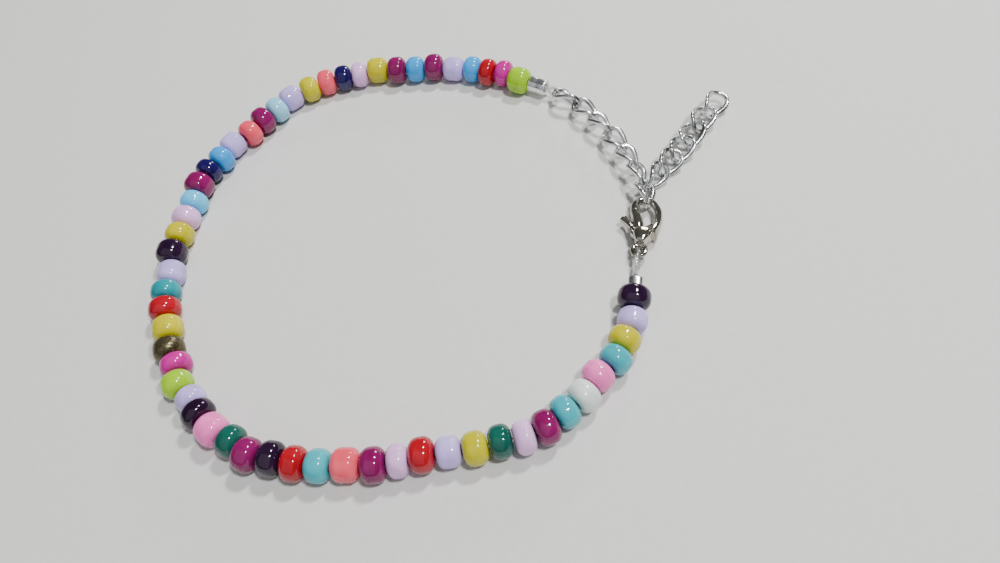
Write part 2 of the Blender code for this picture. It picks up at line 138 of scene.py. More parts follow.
def placeCamera():
    view = bpy.data.cameras.new("camera")
    view.lens, view.sensor_width = camera["lens"], camera["sensor"]
    view.clip_start, view.clip_end = camera["nearest"] * mm, camera["farthest"] * mm
    eye = bpy.data.objects.new("camera", view)
    bpy.context.scene.collection.objects.link(eye)
    turn = Matrix((camera["right"], camera["up"], [-v for v in camera["forward"]])).transposed()
    eye.matrix_world = Matrix.Translation(Vector(camera["place"]) * mm) @ turn.to_4x4()
    bpy.context.scene.camera = eye


def hangLights():
    for name, (place, size, watts, colour) in lights.items():
        lamp = bpy.data.lights.new(name, "AREA")
        lamp.shape, lamp.size, lamp.size_y = "RECTANGLE", size[0] * mm, size[1] * mm
        lamp.energy, lamp.color = watts, linearColour(colour)[:3]
        holder = bpy.data.objects.new(name, lamp)
        bpy.context.scene.collection.objects.link(holder)
        holder.location = Vector(place) * mm
        holder.rotation_euler = Vector(place).to_track_quat("Z", "Y").to_euler()
    world = bpy.data.worlds.new("softRoom")
    bpy.context.scene.world = world
    world.use_nodes = True
    background = world.node_tree.nodes["Background"]
    background.inputs["Color"].default_value = linearColour(room["colour"])
    background.inputs["Strength"].default_value = room["strength"]
    print("camera and lights")


def layFloor():
    deselect()
    bpy.ops.mesh.primitive_plane_add(size=card["size"] * mm)
    floor = bpy.context.object
    floor.name = "floor"
    floor.data.materials.append(paperMaterial())
    print("floor")


# Glass seed beads, drilled lengthways and fire-rounded, so their ends roll into the hole
beads = {
    "lengths": {"thin": 2.45, "short": 2.75, "even": 2.95, "long": 3.35},
    "gap": 0.04, "hole": 1.1, "lean": 3.0, "fullness": 0.975, "crimpGap": 0.15,
    # the rolled rim: a share of the length, and at most this share of the wall
    "sides": 40, "rim": 0.42, "rimMost": 0.86, "rimSteps": 9, "mouth": 0.16, "mouthSteps": 3,
    "dish": 0.05, "nearRadius": 0.02, "nearHeight": 0.08,  # near enough to lie on a rim
    # colour, width, kind of glass
    "glass": {
        "lime": ("#98CA00", 4.0, "opaque"), "fuchsia": ("#B80C84", 4.0, "opaque"),
        "red": ("#A20214", 4.2, "opaque"), "blue": ("#2896E0", 4.0, "opaque"),
        "lavender": ("#BCA8E6", 3.7, "milky"), "plum": ("#74024C", 4.2, "opaque"),
        "yellow": ("#C0B600", 4.0, "opaque"), "lilac": ("#DDAEE2", 4.0, "milky"),
        "navy": ("#10024A", 4.0, "opaque"), "coral": ("#EA4A5E", 4.0, "opaque"),
        "ice": ("#8FCFE8", 4.0, "milky"), "sky": ("#4FC0F0", 4.0, "opaque"),
        "grape": ("#1C0422", 4.2, "opaque"), "teal": ("#108A94", 4.0, "opaque"),
        "bronze": ("#3A3422", 4.0, "lustre"), "pink": ("#F672BC", 4.0, "milky"),
        "green": ("#024C40", 4.0, "opaque"), "aqua": ("#30A6B2", 4.0, "opaque"),
        "chalk": ("#D8E2DC", 4.0, "milky"),
    },
    # from the chain's end: colour, cut, and how far it sits inside the run of the thread
    "string": [
        ("lime", "long", 0.3), ("fuchsia", "thin", -0.3), ("red", "thin", 0.2), ("blue", "short", -0.1),
        ("lavender", "long", -0.1), ("plum", "even", -0.2), ("blue", "even", 0.0), ("plum", "even", 0.1),
        ("yellow", "long", -0.4), ("lilac", "thin", 0.0), ("navy", "short", 0.0),
        ("coral", "short", -0.1), ("yellow", "even", 0.0), ("lavender", "long", -0.5),
        ("ice", "short", 0.0), ("plum", "even", 0.0), ("coral", "short", 0.3), ("lavender", "long", -0.4),
        ("blue", "short", 0.1), ("navy", "thin", -0.4), ("plum", "long", -0.4), ("sky", "short", 0.2),
        ("lilac", "even", 0.1), ("yellow", "even", 0.1), ("grape", "long", -0.2),
        ("lavender", "long", 0.2), ("teal", "short", -0.1), ("red", "even", -0.1),
        ("yellow", "long", 0.1), ("bronze", "even", -0.1), ("fuchsia", "thin", 0.3),
        ("lime", "even", -0.3), ("lavender", "short", 0.3), ("grape", "thin", 0.1), ("pink", "long", 0.0),
        ("green", "short", 0.3), ("plum", "even", -0.2), ("grape", "even", 0.2), ("red", "short", 0.1),
        ("aqua", "even", 0.1), ("coral", "long", 0.2), ("plum", "even", -0.1), ("lilac", "thin", 0.1),
        ("red", "even", 0.3), ("lavender", "even", 0.2), ("yellow", "even", -0.1),
        ("green", "short", 0.0), ("lilac", "thin", -0.3), ("plum", "short", -0.3), ("aqua", "short", 0.0),
        ("chalk", "even", -0.1), ("pink", "even", 0.3), ("aqua", "short", -0.2), ("yellow", "short", 0.0),
        ("lavender", "even", -0.2), ("grape", "even", 0.0),
    ],
}


# Kinds of glass. Clouds of colour and waves in the skin: waves per mm, detail, roughness.
# The milky and lustre kinds list what differs from the opaque one.
glassKinds = {
    "opaque": {
        "cloud": (0.45, 2, 0.5), "wave": (0.8, 1, 0.5), "low": 0.35, "high": 0.65,
        "darken": 0.06, "pale": "#FFFFFF", "lighten": 0.05,
        "smooth": 0.06, "rough": 0.13, "swell": 0.12, "depth": 0.05, "skin": {"IOR": 1.52},
    },
    # pale glass lets a little light in under its skin
    "milky": {
        "skin": {"IOR": 1.52, "Subsurface Weight": 0.25, "Subsurface Scale": 1.0,
                 "Subsurface Radius": (0.9 * mm, 0.8 * mm, 0.9 * mm)},
    },
    # bronze lustre fired on, speckled where it has worn through
    "lustre": {
        "cloud": (5, 4, 0.7), "wave": (5, 4, 0.7), "low": 0.4, "high": 0.72,
        "darken": 0, "pale": "#7A7150", "lighten": 1,
        "smooth": 0.24, "rough": 0.4, "swell": 0.3, "depth": 0.03, "skin": {"IOR": 1.52, "Metallic": 0.7},
    },
}


def glassMaterial(name, colour, kind):
    # Soda-lime glass, tumbled and fire-polished: even colour, IOR 1.52, faint waves in a glossy skin
    look = {**glassKinds["opaque"], **glassKinds[kind]}
    glass = newMaterial(f"{name}Glass")
    place = addNode(glass, "ShaderNodeTexCoord")
    cloud, wave = (addNode(glass, "ShaderNodeTexNoise",
                           {"Scale": scale / mm, "Detail": detail, "Roughness": roughness},
                           {"Vector": place.outputs["Object"]})
                   for scale, detail, roughness in (look["cloud"], look["wave"]))
    dark = mixHex(colour, "#000000", look["darken"])
    light = mixHex(colour, look["pale"], look["lighten"])
    spread = addNode(glass, "ShaderNodeMapRange", {"From Min": look["low"], "From Max": look["high"]},
                     {"Value": cloud.outputs["Fac"]})
    tone = addNode(glass, "ShaderNodeMix", {mixA: linearColour(dark), mixB: linearColour(light)},
                   {"Factor": spread.outputs["Result"]}, data_type="RGBA")
    gloss = addNode(glass, "ShaderNodeMapRange", {"To Min": look["smooth"], "To Max": look["rough"]},
                    {"Value": wave.outputs["Fac"]})
    relief = addNode(glass, "ShaderNodeBump", {"Strength": look["swell"], "Distance": look["depth"] * mm},
                     {"Height": wave.outputs["Fac"]})
    skin = addNode(glass, "ShaderNodeBsdfPrincipled", look["skin"],
                   {"Base Color": tone.outputs[mixResult], "Roughness": gloss.outputs["Result"],
                    "Normal": relief.outputs["Normal"]})
    addNode(glass, "ShaderNodeOutputMaterial", links={"Surface": skin.outputs["BSDF"]})
    return glass


def pick(piece, kind, wanted):
    bpy.context.tool_settings.mesh_select_mode = [kind == each for each in ("verts", "edges", "faces")]
    shape = bmesh.from_edit_mesh(piece.data)
    for element in (*shape.verts, *shape.edges, *shape.faces):
        element.select_set(False)
    for element in getattr(shape, kind):
        if wanted(element):
            element.select_set(True)
    shape.select_flush_mode()
    bmesh.update_edit_mesh(piece.data)


def endFace(face):
    level = 0.9  # an end's normal is more along z than this, and a side's is less
    return abs(face.normal.z) > level


def onRim(edge, radius, height):
    a, b = (v.co for v in edge.verts)
    return a.z * b.z > 0 and all(abs(c.xy.length - radius) < beads["nearRadius"] * mm
                                 and abs(abs(c.z) - height) < beads["nearHeight"] * mm for c in (a, b))


def drilledBead(length, width):
    deselect()
    radius, hole = width / 2 * mm, beads["hole"] / 2 * mm
    bpy.ops.mesh.primitive_cylinder_add(vertices=beads["sides"], radius=radius, depth=length * mm)
    bead = bpy.context.object
    bpy.ops.object.mode_set(mode="EDIT")
    pick(bead, "faces", endFace)
    bpy.ops.mesh.inset(thickness=radius - hole, depth=-beads["dish"] * mm)
    bpy.ops.mesh.delete(type="FACE")  # the two ends of the thread hole
    pick(bead, "edges", lambda edge: onRim(edge, hole, length / 2 * mm))
    bpy.ops.mesh.bridge_edge_loops()
    pick(bead, "edges", lambda edge: onRim(edge, radius, length / 2 * mm))
    rim = min(beads["rim"] * length * mm, beads["rimMost"] * (radius - hole))
    bpy.ops.mesh.bevel(offset=rim, segments=beads["rimSteps"], affect="EDGES")
    pick(bead, "edges", lambda edge: onRim(edge, hole, length / 2 * mm))
    bpy.ops.mesh.bevel(offset=beads["mouth"] * mm, segments=beads["mouthSteps"], affect="EDGES")
    bpy.ops.mesh.select_all(action="SELECT")
    bpy.ops.mesh.normals_make_consistent(inside=False)
    bpy.ops.object.mode_set(mode="OBJECT")
    bpy.ops.object.shade_smooth()
    return bead


def buildBeads(lay):
    glass = {name: glassMaterial(name, colour, kind)
             for name, (colour, _, kind) in beads["glass"].items()}
    shapes = {}
    for number, ((colour, cut, _), (middle, heading)) in enumerate(zip(beads["string"], lay["beads"]), 1):
        width = beads["glass"][colour][1] * beads["fullness"]
        if (cut, width) not in shapes:
            shapes[cut, width] = drilledBead(beads["lengths"][cut] - beads["gap"], width)
        mesh = shapes[cut, width].data.copy()
        spin, lean, sway = (random.uniform(-1, 1) for _ in range(3))
        mesh.transform(placeAt(middle, heading, 0)
                       @ Matrix.Rotation(math.radians(sway * beads["lean"]), 4, "Z")
                       @ Matrix.Rotation(math.radians(90 + lean * beads["lean"] / 2), 4, "Y")
                       @ Matrix.Rotation(math.pi * spin, 4, "Z"))
        bead = bpy.data.objects.new(f"bead_{number:02d}_{colour}", mesh)
        bpy.context.scene.collection.objects.link(bead)
        mesh.materials.clear()
        mesh.materials.append(glass[colour])
        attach(bead, "anklet")
        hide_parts("bead_string")
    for shape in shapes.values():
        bpy.data.objects.remove(shape)
    print(len(beads["string"]), "beads")


# Looks of the metals and the thread. Noises are given in waves per mm.
metals = {
    "silver": {
        # the silver's dark colour is a painted dark reflection of the room, mixed in clouds with its
        # light colour
        "dark": "#989A9A", "light": "#E8EAEA", "smooth": 0.14, "rough": 0.28, "wave": 1.1, "swell": 0.4,
    },
    "nickel": {
        "dark": "#8F8B80", "light": "#C6C2B6", "smooth": 0.05, "rough": 0.15, "wave": 0.8, "swell": 0.18,
    },
    # the first noise paints dark reflection on the metal in clouds per mm; low and high set its spread
    "paintedReflection": 0.35, "low": 0.3, "high": 0.6, "marks": 2.6, "markRoughness": 0.65, "depth": 0.06,
}
nylonLine = {
    "dark": "#CDD0CA", "light": "#ECEEE9", "streak": 1.4, "low": 0.35, "high": 0.65,
    "smooth": 0.04, "rough": 0.14, "ior": 1.53, "clear": 0.88,
}


def metalMaterial(name, look):
    # Electroplate over a cast or drawn blank: mirror-bright, softened by handling marks
    metal = newMaterial(name)
    place = addNode(metal, "ShaderNodeTexCoord")
    # painted reflection: clouds of the darker colour stand in for the dark room mirrored in the metal
    paintedReflection = addNode(metal, "ShaderNodeTexNoise", {"Scale": metals["paintedReflection"] / mm, "Detail": 3},
                      {"Vector": place.outputs["Object"]})
    spread = addNode(metal, "ShaderNodeMapRange", {"From Min": metals["low"], "From Max": metals["high"]},
                     {"Value": paintedReflection.outputs["Fac"]})
    tone = addNode(metal, "ShaderNodeMix",
                   {mixA: linearColour(look["dark"]), mixB: linearColour(look["light"])},
                   {"Factor": spread.outputs["Result"]}, data_type="RGBA")
    marks = addNode(metal, "ShaderNodeTexNoise",
                    {"Scale": metals["marks"] / mm, "Detail": 5, "Roughness": metals["markRoughness"]},
                    {"Vector": place.outputs["Object"]})
    gloss = addNode(metal, "ShaderNodeMapRange", {"To Min": look["smooth"], "To Max": look["rough"]},
                    {"Value": marks.outputs["Fac"]})
    wave = addNode(metal, "ShaderNodeTexNoise", {"Scale": look["wave"] / mm, "Detail": 2},
                   {"Vector": place.outputs["Object"]})
    relief = addNode(metal, "ShaderNodeBump",
                     {"Strength": look["swell"], "Distance": metals["depth"] * mm},
                     {"Height": wave.outputs["Fac"]})
    skin = addNode(metal, "ShaderNodeBsdfPrincipled", {"Metallic": 1.0},
                   {"Base Color": tone.outputs[mixResult], "Roughness": gloss.outputs["Result"],
                    "Normal": relief.outputs["Normal"]})
    addNode(metal, "ShaderNodeOutputMaterial", links={"Surface": skin.outputs["BSDF"]})
    return metal


def nylonMaterial():
    # Clear drawn nylon line: IOR 1.53, a slightly dull surface that takes up the colour of what is near
    look = nylonLine
    nylon = newMaterial("clearNylonLine")
    place = addNode(nylon, "ShaderNodeTexCoord")
    streak = addNode(nylon, "ShaderNodeTexNoise", {"Scale": look["streak"] / mm, "Detail": 2},
                     {"Vector": place.outputs["Object"]})
    spread = addNode(nylon, "ShaderNodeMapRange", {"From Min": look["low"], "From Max": look["high"]},
                     {"Value": streak.outputs["Fac"]})
    tone = addNode(nylon, "ShaderNodeMix",
                   {mixA: linearColour(look["dark"]), mixB: linearColour(look["light"])},
                   {"Factor": spread.outputs["Result"]}, data_type="RGBA")
    gloss = addNode(nylon, "ShaderNodeMapRange", {"To Min": look["smooth"], "To Max": look["rough"]},
                    {"Value": streak.outputs["Fac"]})
    skin = addNode(nylon, "ShaderNodeBsdfPrincipled",
                   {"IOR": look["ior"], "Transmission Weight": look["clear"]},
                   {"Base Color": tone.outputs[mixResult], "Roughness": gloss.outputs["Result"]})
    addNode(nylon, "ShaderNodeOutputMaterial", links={"Surface": skin.outputs["BSDF"]})
    return nylon


def placeAt(middle, forward, roll):
    across = up.cross(forward).normalized()
    turn = Matrix((forward, across, forward.cross(across))).transposed().to_4x4()
    return Matrix.Translation(middle * mm) @ turn @ Matrix.Rotation(math.radians(roll), 4, "X")


def settle(piece, name, place, material, body, node):
    piece.name = name
    piece.data.transform(place @ piece.matrix_world)
    piece.matrix_world = Matrix.Identity(4)
    piece.data.materials.clear()
    piece.data.materials.append(material)
    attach(piece, body)
    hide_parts(node)


# Tubes swept along a smooth line: degree and steps of the line, and what counts as one point
tubes = {"order": 3, "resolution": 6, "merge": 0.005}


def tubeAlong(name, points, width, steps, widths=None):
    line = bpy.data.curves.new(name, "CURVE")
    line.dimensions, line.use_fill_caps = "3D", True
    line.bevel_depth, line.bevel_resolution = width / 2 * mm, steps
    run = line.splines.new("NURBS")
    run.points.add(len(points) - 1)
    for i, point in enumerate(points):
        run.points[i].co = (*(Vector(point) * mm), 1)
        run.points[i].radius = widths[i] / width if widths else 1
    run.order_u, run.resolution_u, run.use_endpoint_u = tubes["order"], tubes["resolution"], True
    piece = bpy.data.objects.new(name, line)
    bpy.context.scene.collection.objects.link(piece)
    onlySelect(piece)
    bpy.ops.object.convert(target="MESH")
    piece = bpy.context.object
    bpy.ops.object.mode_set(mode="EDIT")
    bpy.ops.mesh.select_all(action="SELECT")
    bpy.ops.mesh.remove_doubles(threshold=tubes["merge"] * mm)
    bpy.ops.mesh.normals_make_consistent(inside=False)
    bpy.ops.object.mode_set(mode="OBJECT")
    bpy.ops.object.shade_smooth()
    return piece


# Chain of drawn silver-plated wire: each oval link is turned a quarter from end to end.
# The links are bent and spaced for wire of the gauge, and drawn in wire that just fills the
# play between them, so they touch as real ones do.
chain = {
    "gauge": 0.55, "wire": 0.7, "inside": 1.9, "length": 3.9, "hookedLength": 3.3, "twist": -90,
    "bulge": 0.26, "pinch": 0.06, "corners": 34, "round": 14, "cuts": 7, "height": 1.5,
    "play": 0.15, "tailPlay": 0.7, "sharedBend": 0.575,
    # roll of each link about its own run, from the claw on
    "hookedRoll": 50, "rolls": (58, 38, 20, 42, 22, 45), "tailRolls": (70, 48, 28, 8, 25, 45),
}


def twistedLink(innerLength):
    deselect()
    bend = (chain["inside"] + chain["gauge"]) / 2
    slack = (innerLength - chain["inside"]) / 2
    bpy.ops.mesh.primitive_torus_add(major_radius=bend * mm, minor_radius=chain["wire"] / 2 * mm,
                                     major_segments=chain["corners"], minor_segments=chain["round"])
    link = bpy.context.object
    bpy.ops.object.mode_set(mode="EDIT")
    for side in (1, -1):
        pick(link, "verts", lambda vertex: vertex.co.x * side > 0)
        bpy.ops.transform.translate(value=(side * slack * mm, 0, 0))
    pick(link, "edges", lambda edge: edge.verts[0].co.x * edge.verts[1].co.x < 0)
    bpy.ops.mesh.subdivide(number_cuts=chain["cuts"])
    bpy.ops.object.mode_set(mode="OBJECT")
    half = bend + slack
    for vertex in link.data.vertices:  # the sides are bowed, as the wire was wound
        vertex.co.y *= 1 - chain["pinch"] + chain["bulge"] * max(0, 1 - (vertex.co.x / mm / half) ** 2)
    turn = link.modifiers.new("twist", "SIMPLE_DEFORM")
    turn.deform_method, turn.deform_axis, turn.angle = "TWIST", "X", math.radians(chain["twist"])
    bpy.ops.object.modifier_apply(modifier=turn.name)
    bpy.ops.object.shade_smooth()
    return link


def buildChain(silver, lay):
    pattern = {True: twistedLink(chain["hookedLength"]), False: twistedLink(chain["length"])}
    for node, (middle, heading, roll) in lay["links"].items():
        link = pattern[node == "hooked_link"].copy()
        link.data = link.data.copy()
        bpy.context.scene.collection.objects.link(link)
        place = placeAt(middle, heading, roll)
        lowest = min((place @ vertex.co).z for vertex in link.data.vertices)
        place = Matrix.Translation(up * max(0, -lowest)) @ place  # it rests on the table, never in it
        settle(link, node + "_wire", place, silver, "anklet", node)
    for link in pattern.values():
        bpy.data.objects.remove(link)
    print(len(lay["links"]), "links")


# Crimps: short silver tubes pressed shut over the doubled thread. Each stands in a seat of
# its own length along the string, and points from "sight" before its middle to "sight" past it.
crimps = {
    "tubes": {
        "chain_crimp": {
            "seat": 2.4, "length": 2.7, "width": 2.5, "height": 2.25, "waist": 0.94, "square": 0.2,
        },
        "clasp_crimp": {
            "seat": 1.6, "length": 1.36, "width": 2.0, "height": 1.55, "waist": 1.0, "square": 0.45,
        },
    },
    "lift": 1.65, "sight": 0.5, "edge": 0.12, "edgeSteps": 2, "snug": 0.97,
    # the blank, before it is drawn to size, and what tells its long edges and its outer middle ring
    "radius": 0.5, "depth": 1, "sides": 16, "wall": 0.2, "lip": 0.02, "mouth": 0.25, "cuts": 5,
    "longEdge": 0.9, "middle": 0.05, "outside": 0.4,
}


def blankTube(waist):
    deselect()
    bpy.ops.mesh.primitive_cylinder_add(vertices=crimps["sides"], radius=crimps["radius"],
                                        depth=crimps["depth"])
    tube = bpy.context.object
    bpy.ops.object.mode_set(mode="EDIT")
    pick(tube, "faces", endFace)
    bpy.ops.mesh.inset(thickness=crimps["wall"], depth=0)
    bpy.ops.mesh.inset(thickness=crimps["lip"], depth=-crimps["mouth"])  # the tube's open mouth
    pick(tube, "edges", lambda edge: abs(edge.verts[0].co.z - edge.verts[1].co.z) > crimps["longEdge"])
    bpy.ops.mesh.subdivide(number_cuts=crimps["cuts"])
    pick(tube, "edges", lambda edge: all(abs(v.co.z) < crimps["middle"]
                                         and v.co.xy.length > crimps["outside"] for v in edge.verts))
    bpy.ops.transform.resize(value=(waist, waist, 1))
    bpy.ops.object.mode_set(mode="OBJECT")
    tube.data.transform(Matrix.Rotation(math.pi / 2, 4, "Y"))
    tube.data.transform(Matrix.Rotation(math.pi / crimps["sides"], 4, "X"))
    return tube


def pressedTube(crimp):
    # A pressed tube is squarer than a round one: its sides are pushed out towards its box
    tube = blankTube(crimp["waist"])
    for vertex in tube.data.vertices:
        y, z = vertex.co.y, vertex.co.z
        reach = math.hypot(y, z)
        if reach > crimps["radius"] - crimps["wall"]:
            pull = 1 + (reach / max(abs(y), abs(z)) - 1) * crimp["square"]
            vertex.co.y, vertex.co.z = y * pull, z * pull
    tube.data.transform(Matrix.Diagonal((crimp["length"] * mm, crimp["width"] * mm * crimps["snug"],
                                         crimp["height"] * mm * crimps["snug"], 1)))
    onlySelect(tube)
    edge = tube.modifiers.new("edge", "BEVEL")
    edge.width, edge.segments, edge.limit_method = crimps["edge"] * mm, crimps["edgeSteps"], "ANGLE"
    bpy.ops.object.modifier_apply(modifier=edge.name)
    soft = tube.modifiers.new("soft", "SUBSURF")
    soft.levels = soft.render_levels = 1
    bpy.ops.object.modifier_apply(modifier=soft.name)
    bpy.ops.object.shade_smooth()
    return tube


def buildCrimps(silver, lay):
    for node, crimp in crimps["tubes"].items():
        place = placeAt(*lay[node], 0)
        settle(pressedTube(crimp), node + "_tube", place, silver, "anklet", node)
    print("crimps")


# Lobster clasp: cast claw and shell with a lever on a pin. Drawn flat: x right, y eye to claw.
clasp = {
    "thickness": 2.6, "grain": 0.06, "rest": (0.45, 7.6),  # rest: where the hooked link pulls
    # middle of the claw's arm and its width there, from shoulder to beak
    "arm": [
        (1.35, 2.4, 1.7), (1.8, 3.4, 1.35), (2.08, 4.4, 1.12), (2.15, 5.4, 1.04), (2.03, 6.4, 1.0),
        (1.66, 7.22, 0.98), (1.05, 7.93, 0.95), (0.28, 8.24, 0.92), (-0.42, 8.04, 1.0),
        (-0.86, 7.45, 1.15), (-1.02, 6.85, 1.3), (-0.96, 6.08, 1.3),
    ],
    "armDepth": 0.98, "rootDepth": 1.6, "rootUntil": 6.2,
    "domeMiddle": (0.1, 1.4), "domeReach": 2.1, "domeDrop": 0.38, "domeLeast": 0.6,
    "dimple": (1.32, 2.15), "dimpleSize": (0.34, 0.62, 0.5), "dimpleTurn": -38,
    "shoulder": [
        (0.5, 0.75), (0.85, 1.15), (1.85, 2.65), (2.5, 4.1), (1.75, 4.35), (1.05, 3.8),
        (0.6, 3.42), (0.1, 3.5), (-0.45, 3.32), (-0.85, 2.9), (-0.98, 2.3), (-0.85, 1.65), (-0.5, 0.75),
    ],
    "slot": [
        (0.2, 1.35), (0.9, 1.55), (1.15, 2.1), (1.15, 2.6), (0.95, 3.2), (1.0, 4.2),
        (-3.2, 4.2), (-3.2, 1.5), (-0.3, 1.35),
    ],
    "slotWidth": 1.0, "eyeRadius": 0.8, "eyeWire": 0.68, "pivot": (0.2, 2.3),
    # rounding of the shell's edges, rounds of polish on the castings, and steps of the round parts
    "edge": 0.42, "edgeSteps": 4, "edgeAngle": 60, "shellPolish": 2, "polish": 7, "polishShare": 0.5,
    "crease": 35, "steps": 7, "eyeSides": (48, 16), "dimpleSides": (32, 16),
}
lever = {
    "root": 0.8, "hole": 0.76, "holeSides": 32, "holeDepth": 4, "grain": 0.05,
    "outline": [
        (-0.85, 1.9), (-0.3, 1.68), (0.2, 1.6), (0.7, 1.8), (0.9, 2.3), (0.72, 2.85), (0.3, 3.5),
        (-0.2, 4.4), (-1.3, 4.2), (-1.45, 3.0), (-1.25, 2.4),
    ],
    # the bar that closes the claw, and the thumb tab that curls away from it: middle and width
    "bar": [
        (-0.3, 3.0, 1.3), (-0.34, 3.7, 1.5), (-0.48, 4.5, 1.45), (-0.68, 5.2, 1.35), (-0.92, 5.98, 1.28),
    ],
    "barDepth": 1.05,
    "tab": [
        (-0.85, 2.9, 0.9), (-1.2, 3.4, 0.75), (-1.62, 3.95, 0.72), (-2.05, 4.5, 0.9), (-2.4, 4.95, 1.15),
    ],
    "tabDepth": 1.7, "tabThin": 0.4,
}


def flatShape(name, outline, thickness):
    shape = bmesh.new()
    shape.faces.new([shape.verts.new((x * mm, y * mm, -thickness / 2 * mm)) for x, y in outline])
    mesh = bpy.data.meshes.new(name)
    shape.to_mesh(mesh)
    shape.free()
    piece = bpy.data.objects.new(name, mesh)
    bpy.context.scene.collection.objects.link(piece)
    onlySelect(piece)
    bpy.ops.object.mode_set(mode="EDIT")
    bpy.ops.mesh.select_all(action="SELECT")
    bpy.ops.mesh.extrude_region_move(TRANSFORM_OT_translate={"value": (0, 0, thickness * mm)})
    bpy.ops.mesh.select_all(action="SELECT")
    bpy.ops.mesh.normals_make_consistent(inside=False)
    bpy.ops.object.mode_set(mode="OBJECT")
    return piece


def roundEdges(piece):
    onlySelect(piece)
    soft = piece.modifiers.new("edge", "BEVEL")
    soft.width, soft.segments, soft.limit_method = clasp["edge"] * mm, clasp["edgeSteps"], "ANGLE"
    soft.angle_limit = math.radians(clasp["edgeAngle"])
    bpy.ops.object.modifier_apply(modifier=soft.name)
    return piece


def castTogether(pieces, grain, smoothing):
    onlySelect(pieces[0])
    for piece in pieces[1:]:
        piece.select_set(True)
    bpy.ops.object.join()
    whole = bpy.context.object
    cast = whole.modifiers.new("cast", "REMESH")
    cast.mode, cast.voxel_size, cast.use_smooth_shade = "VOXEL", grain * mm, True
    bpy.ops.object.modifier_apply(modifier=cast.name)
    polish = whole.modifiers.new("polish", "SMOOTH")
    polish.factor, polish.iterations = clasp["polishShare"], smoothing
    bpy.ops.object.modifier_apply(modifier=polish.name)
    bpy.ops.object.shade_smooth()
    return whole


def cutOut(piece, cutter):
    onlySelect(piece)
    cut = piece.modifiers.new("cut", "BOOLEAN")
    cut.operation, cut.solver, cut.object = "DIFFERENCE", "EXACT", cutter
    bpy.ops.object.modifier_apply(modifier=cut.name)
    bpy.data.objects.remove(cutter)
    bpy.ops.object.shade_smooth_by_angle(angle=math.radians(clasp["crease"]))


def deepen(piece, depth):
    for vertex in piece.data.vertices:
        vertex.co.z *= depth(vertex.co.x / mm, vertex.co.y / mm)


def widthTube(name, stations):
    return tubeAlong(name, [(x, y, 0) for x, y, _ in stations], 1, clasp["steps"],
                     [width for _, _, width in stations])


def claspArm():
    arm = widthTube("arm", clasp["arm"])
    rootFrom = clasp["arm"][0][1]
    gain = (clasp["rootDepth"] - clasp["armDepth"]) / (clasp["rootUntil"] - rootFrom)
    deepen(arm, lambda x, y: clasp["armDepth"] + gain * max(0, clasp["rootUntil"] - y))
    return arm


def claspShell():
    blank = roundEdges(flatShape("shell", clasp["shoulder"], clasp["thickness"]))
    shell = castTogether([blank], clasp["grain"], clasp["shellPolish"])
    middle, reach = clasp["domeMiddle"], clasp["domeReach"]
    deepen(shell, lambda x, y: max(clasp["domeLeast"],
                                   1 - clasp["domeDrop"] * math.dist((x, y), middle) ** 2 / reach ** 2))
    return shell


def claspEye():
    deselect()
    around, section = clasp["eyeSides"]
    bpy.ops.mesh.primitive_torus_add(major_radius=clasp["eyeRadius"] * mm,
                                     minor_radius=clasp["eyeWire"] / 2 * mm,
                                     major_segments=around, minor_segments=section)
    return bpy.context.object


def dimpleCutter(side):
    deselect()
    around, rings = clasp["dimpleSides"]
    bpy.ops.mesh.primitive_uv_sphere_add(segments=around, ring_count=rings, radius=mm)
    hollow = bpy.context.object
    middle = Vector((*clasp["dimple"], side * clasp["thickness"] / 2))
    hollow.data.transform(Matrix.Translation(middle * mm)
                          @ Matrix.Rotation(math.radians(clasp["dimpleTurn"]), 4, "Z")
                          @ Matrix.Diagonal((*clasp["dimpleSize"], 1)))
    return hollow


def castLever():
    root = flatShape("root", lever["outline"], lever["root"])
    bar = widthTube("bar", lever["bar"])
    deepen(bar, lambda x, y: lever["barDepth"])
    tab = widthTube("tab", lever["tab"])
    tabFrom = lever["tab"][0][1]
    deepen(tab, lambda x, y: lever["tabDepth"] - lever["tabThin"] * (y - tabFrom))
    handle = castTogether([root, bar, tab], lever["grain"], clasp["polish"])
    deselect()
    bpy.ops.mesh.primitive_cylinder_add(vertices=lever["holeSides"], radius=lever["hole"] / 2 * mm,
                                        depth=lever["holeDepth"] * mm,
                                        location=Vector((*clasp["pivot"], 0)) * mm)
    cutOut(handle, bpy.context.object)
    return handle


def buildClasp(nickel, lay):
    body = castTogether([claspArm(), claspShell(), claspEye()], clasp["grain"], clasp["polish"])
    cutOut(body, flatShape("slot", clasp["slot"], clasp["slotWidth"]))
    for side in (1, -1):
        cutOut(body, dimpleCutter(side))
    settle(body, "clasp_claw", lay["clasp"], nickel, "anklet", "clasp_body")
    settle(castLever(), "clasp_trigger", lay["clasp"], nickel, "lever", "clasp_lever")
    print("clasp")


# Clear thread: doubled round the eye and round the last link, and through the beads
threads = {
    "width": 0.45, "play": 0.08, "spread": 0.3, "bow": 0.35, "chainSpan": 1.9, "claspSpan": 4.4,
    # points on each leg of a loop, as shares of the way out, and shares of the bow and the bend there
    "near": 0.3, "far": 0.6, "farBow": 0.6, "eyeBow": 0.3, "eyeBack": 0.5,
    "turnStep": 30, "loopSteps": 4, "stringSteps": 3,
}


